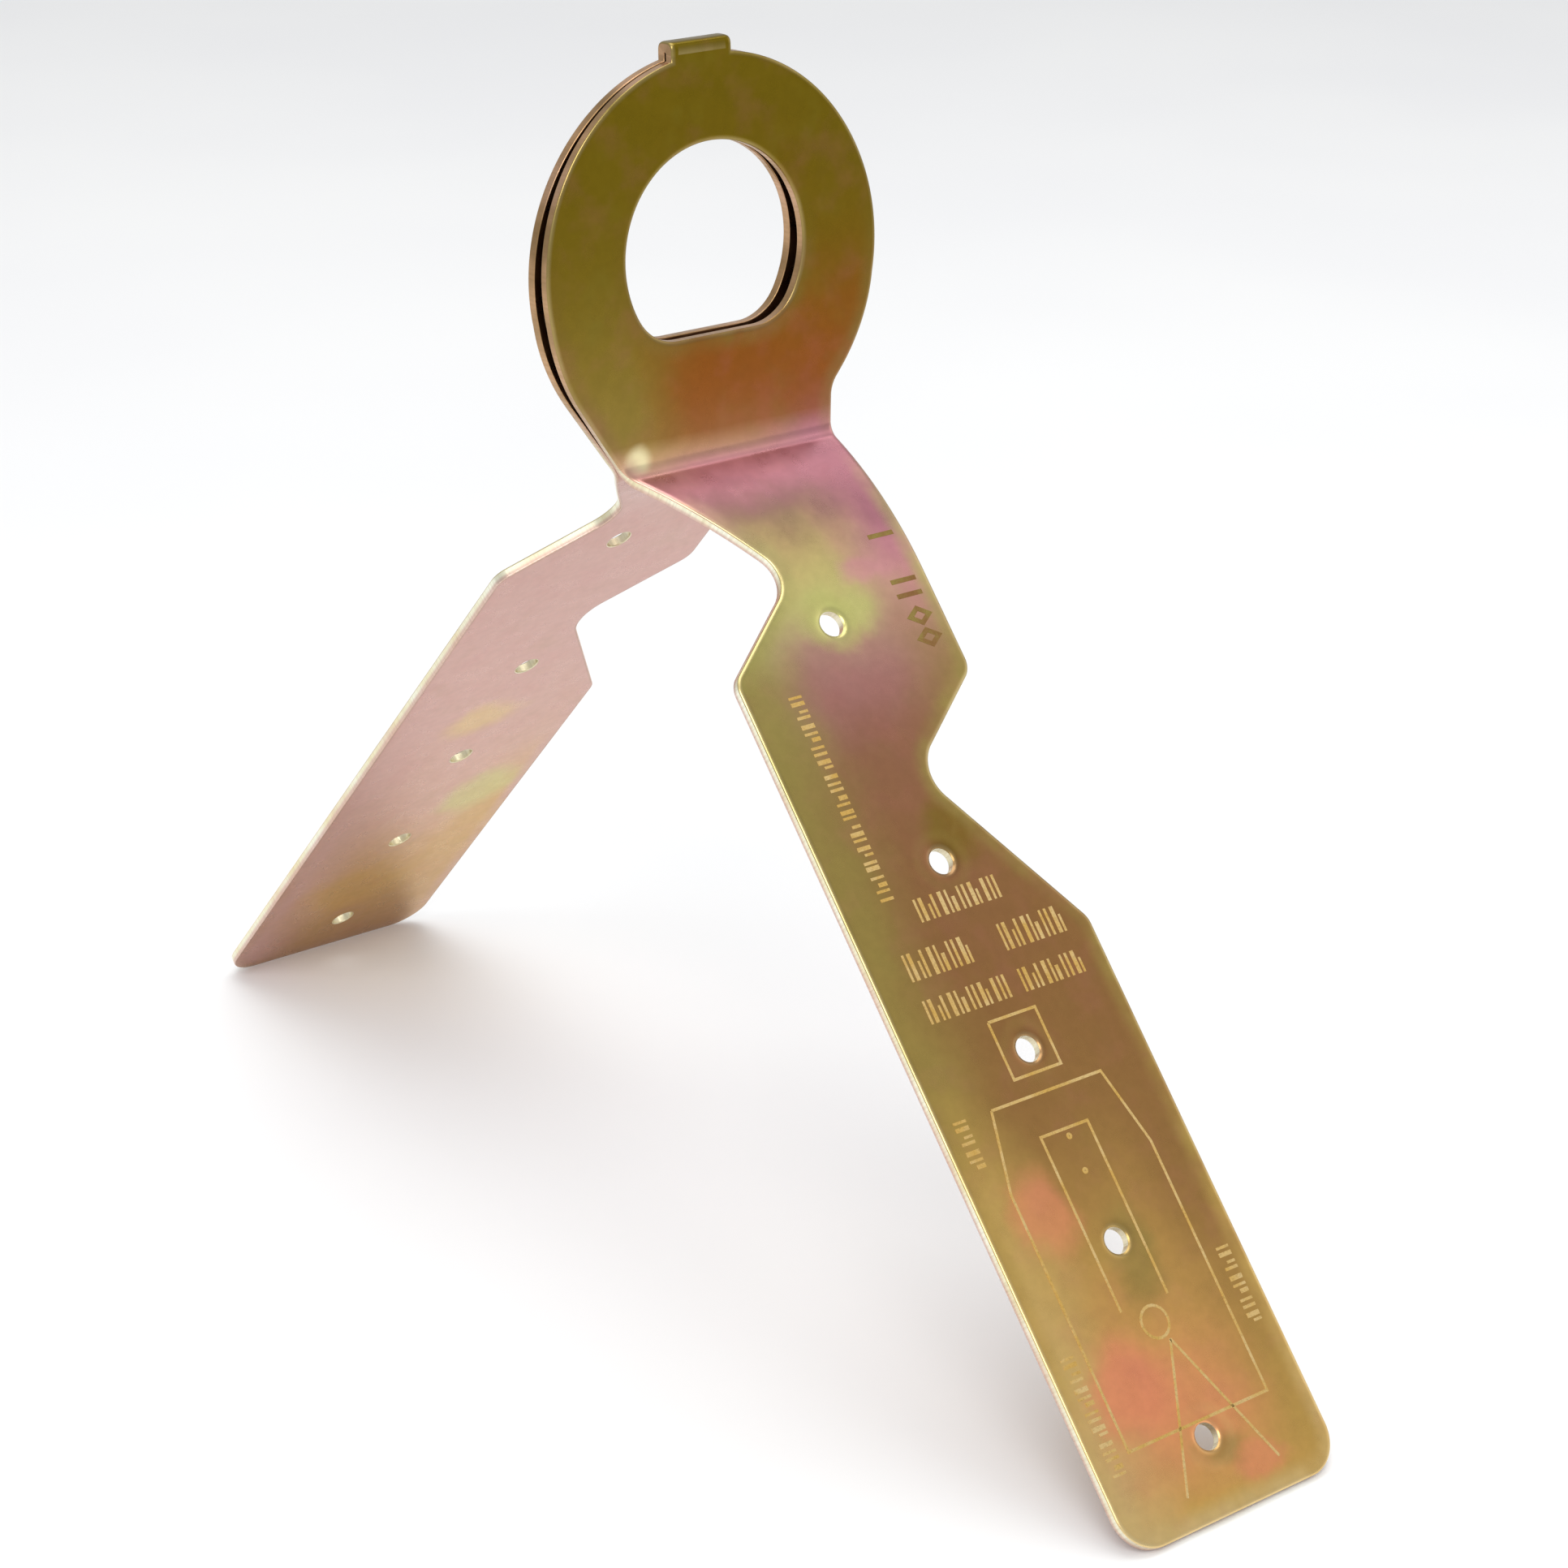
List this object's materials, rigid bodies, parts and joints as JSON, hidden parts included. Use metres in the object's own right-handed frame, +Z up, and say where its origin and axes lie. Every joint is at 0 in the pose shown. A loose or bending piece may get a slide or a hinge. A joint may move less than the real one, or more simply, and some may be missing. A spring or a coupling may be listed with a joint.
{
  "type": "roof anchor",
  "caption": "Folded sheet-steel ridge roof anchor: doubled ring with a D-shaped eye, two bendable legs with nail holes.",
  "frame": {"origin": "on the ground plane, midway between the two feet and on the centre line of the legs", "axes": "+X along the bend lines, towards the side with the waist's vertical edge; +Y from the front leg towards the rear leg; +Z up"},
  "size_m": [0.101, 0.401, 0.3122],
  "materials": {
    "ring_plating": "satin",
    "bend_plating": "satin",
    "leg_plating": "satin"
  },
  "bodies": {
    "ring_head": {"front_ring_plate": "ring_plating", "tab_fold": "ring_plating", "rear_ring_plate": "ring_plating"},
    "front_leg": {"front_waist_bend": "bend_plating", "front_neck": "bend_plating", "front_leg_plate": "leg_plating"},
    "rear_leg": {"rear_waist_bend": "bend_plating", "rear_neck": "bend_plating", "rear_leg_plate": "leg_plating"}
  },
  "joints": [
    {"name": "front_leg_bend", "type": "hinge", "parent": "ring_head", "child": "front_leg", "pos_m": [0, -0.00718, 0.21134], "axis": [1, 0, 0], "range_deg": [-33, 12], "deforming": ["front_waist_bend"]},
    {"name": "rear_leg_bend", "type": "hinge", "parent": "ring_head", "child": "rear_leg", "pos_m": [0, 0.00649, 0.2107], "axis": [-1, 0, 0], "range_deg": [-33, 12], "deforming": ["rear_waist_bend"]}
  ]
}
